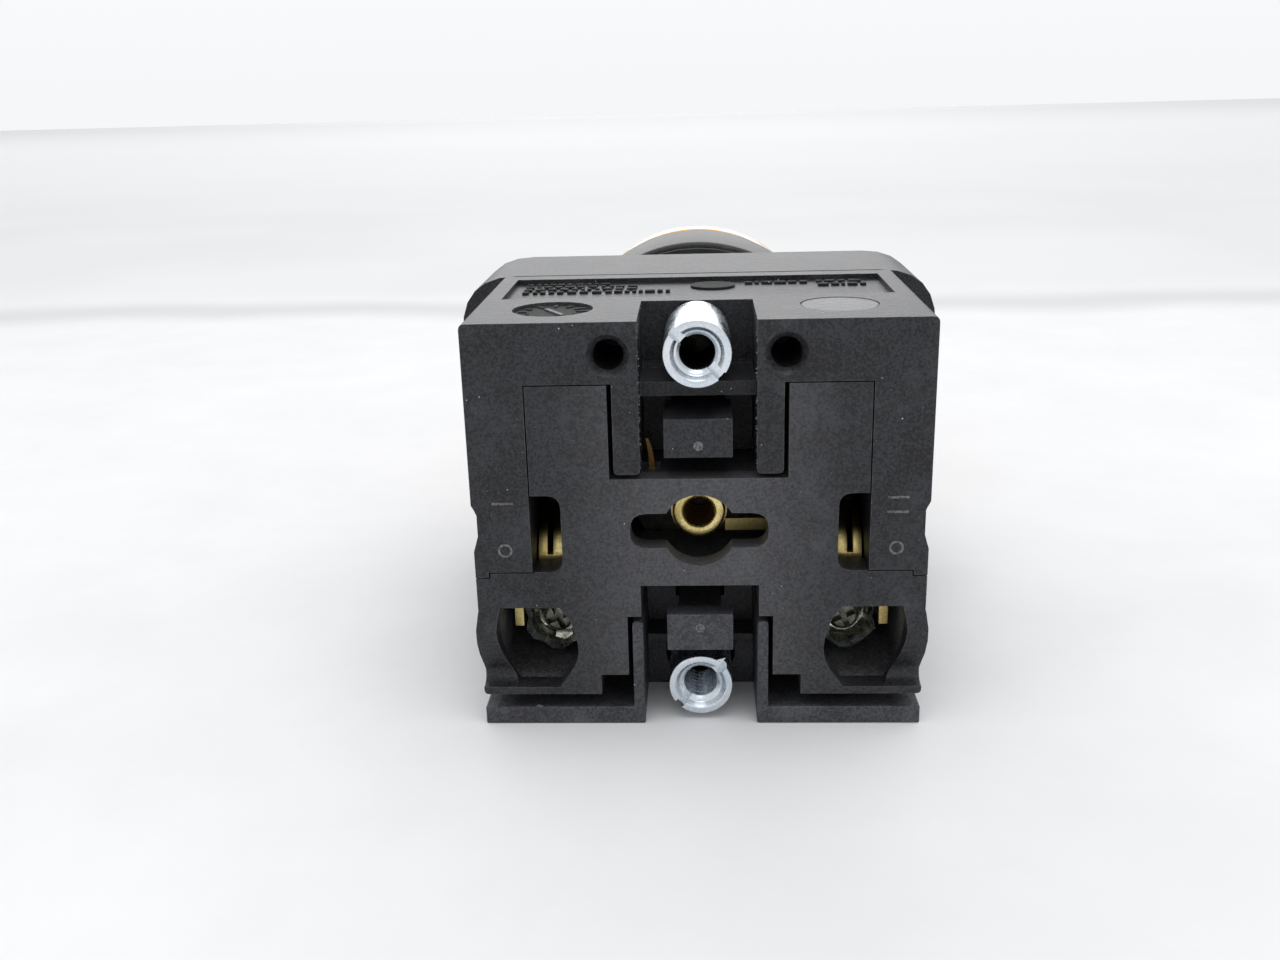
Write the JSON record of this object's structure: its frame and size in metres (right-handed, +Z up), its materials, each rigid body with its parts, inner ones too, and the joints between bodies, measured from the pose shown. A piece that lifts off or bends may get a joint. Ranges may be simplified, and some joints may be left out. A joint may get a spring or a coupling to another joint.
{
  "type": "illuminated industrial push button",
  "caption": "Panel push button with a domed amber lens cap, round bezel, mounting collar and a lamp block with slotted stacking screws.",
  "frame": {"origin": "middle of the box's base: the part lies on its flat side, on the collar and the two rails of the bottom cover", "axes": "+Z up from the surface it lies on, +Y from the lens cap back to the lamp block's rear face, +X to the right as seen by the operator who looks at the lens along +Y"},
  "size_m": [0.037, 0.0616, 0.0282],
  "materials": {
    "amber_lens": "gloss",
    "white_diffuser": "satin",
    "black_plastic": "satin",
    "black_rubber": "matte",
    "steel": "satin",
    "zinc_plate": "satin",
    "brass": "satin",
    "fibre": "matte",
    "lamp_glass": "gloss"
  },
  "bodies": {
    "housing": {"plunger_seal": "black_rubber", "bezel_ring": "black_plastic", "operator_barrel": "black_plastic", "panel_gasket": "black_rubber", "return_spring": "steel", "mounting_collar": "black_plastic", "upper_shell": "black_plastic", "lower_shell": "black_plastic", "bottom_cover": "black_plastic", "lamp_socket": "brass", "socket_insulator": "fibre", "lamp_base": "steel", "lamp_glass": "lamp_glass", "contact_eyelet": "brass", "eyelet_strip": "brass", "socket_strip": "brass", "terminal_plate_left": "brass", "terminal_plate_right": "brass"},
    "button": {"lens_cap": "amber_lens", "diffuser_plate": "white_diffuser", "button_sleeve": "black_plastic"},
    "rod_upper": {"push_rod_upper": "black_plastic"},
    "rod_lower": {"push_rod_lower": "black_plastic"},
    "screw_upper": {"stacking_screw_upper": "zinc_plate"},
    "screw_lower": {"stacking_screw_lower": "zinc_plate"},
    "terminal_left": {"terminal_screw_left": "zinc_plate", "clamp_washer_left": "zinc_plate"},
    "terminal_right": {"terminal_screw_right": "zinc_plate", "clamp_washer_right": "zinc_plate"},
    "clamp_left": {"clamp_screw_left": "zinc_plate"},
    "clamp_right": {"clamp_screw_right": "zinc_plate"}
  },
  "joints": [
    {"name": "button_press", "type": "slide", "parent": "housing", "child": "button", "axis": [0, 1, 0], "range_m": [0, 0.004], "stiffness_N_per_m": 500, "springref_m": -0.004, "deforming": ["return_spring"]},
    {"name": "rod_upper_slide", "type": "slide", "parent": "housing", "child": "rod_upper", "axis": [0, 1, 0], "range_m": [0, 0.004]},
    {"name": "rod_lower_slide", "type": "slide", "parent": "housing", "child": "rod_lower", "axis": [0, 1, 0], "range_m": [0, 0.004]},
    {"name": "stacking_screw_upper_turn", "type": "hinge", "parent": "housing", "child": "screw_upper", "pos_m": [0, 0.03075, 0.026], "axis": [0, 1, 0], "continuous": true},
    {"name": "stacking_screw_lower_turn", "type": "hinge", "parent": "housing", "child": "screw_lower", "pos_m": [0, 0.03015, 0.0026], "axis": [0, 1, 0], "continuous": true},
    {"name": "terminal_screw_left_turn", "type": "hinge", "parent": "housing", "child": "terminal_left", "pos_m": [-0.0101, 0.02645, 0.0061], "axis": [0, 1, 0], "continuous": true},
    {"name": "terminal_screw_right_turn", "type": "hinge", "parent": "housing", "child": "terminal_right", "pos_m": [0.0101, 0.02645, 0.0061], "axis": [0, 1, 0], "continuous": true},
    {"name": "clamp_screw_left_turn", "type": "hinge", "parent": "housing", "child": "clamp_left", "pos_m": [-0.01635, 0.01075, 0.0142], "axis": [0, 1, 0], "continuous": true},
    {"name": "clamp_screw_right_turn", "type": "hinge", "parent": "housing", "child": "clamp_right", "pos_m": [0.01635, 0.01075, 0.0142], "axis": [0, 1, 0], "continuous": true}
  ],
  "couplings": [
    {"joint": "rod_upper_slide", "follows": "button_press", "ratio": 1},
    {"joint": "rod_lower_slide", "follows": "button_press", "ratio": 1}
  ]
}
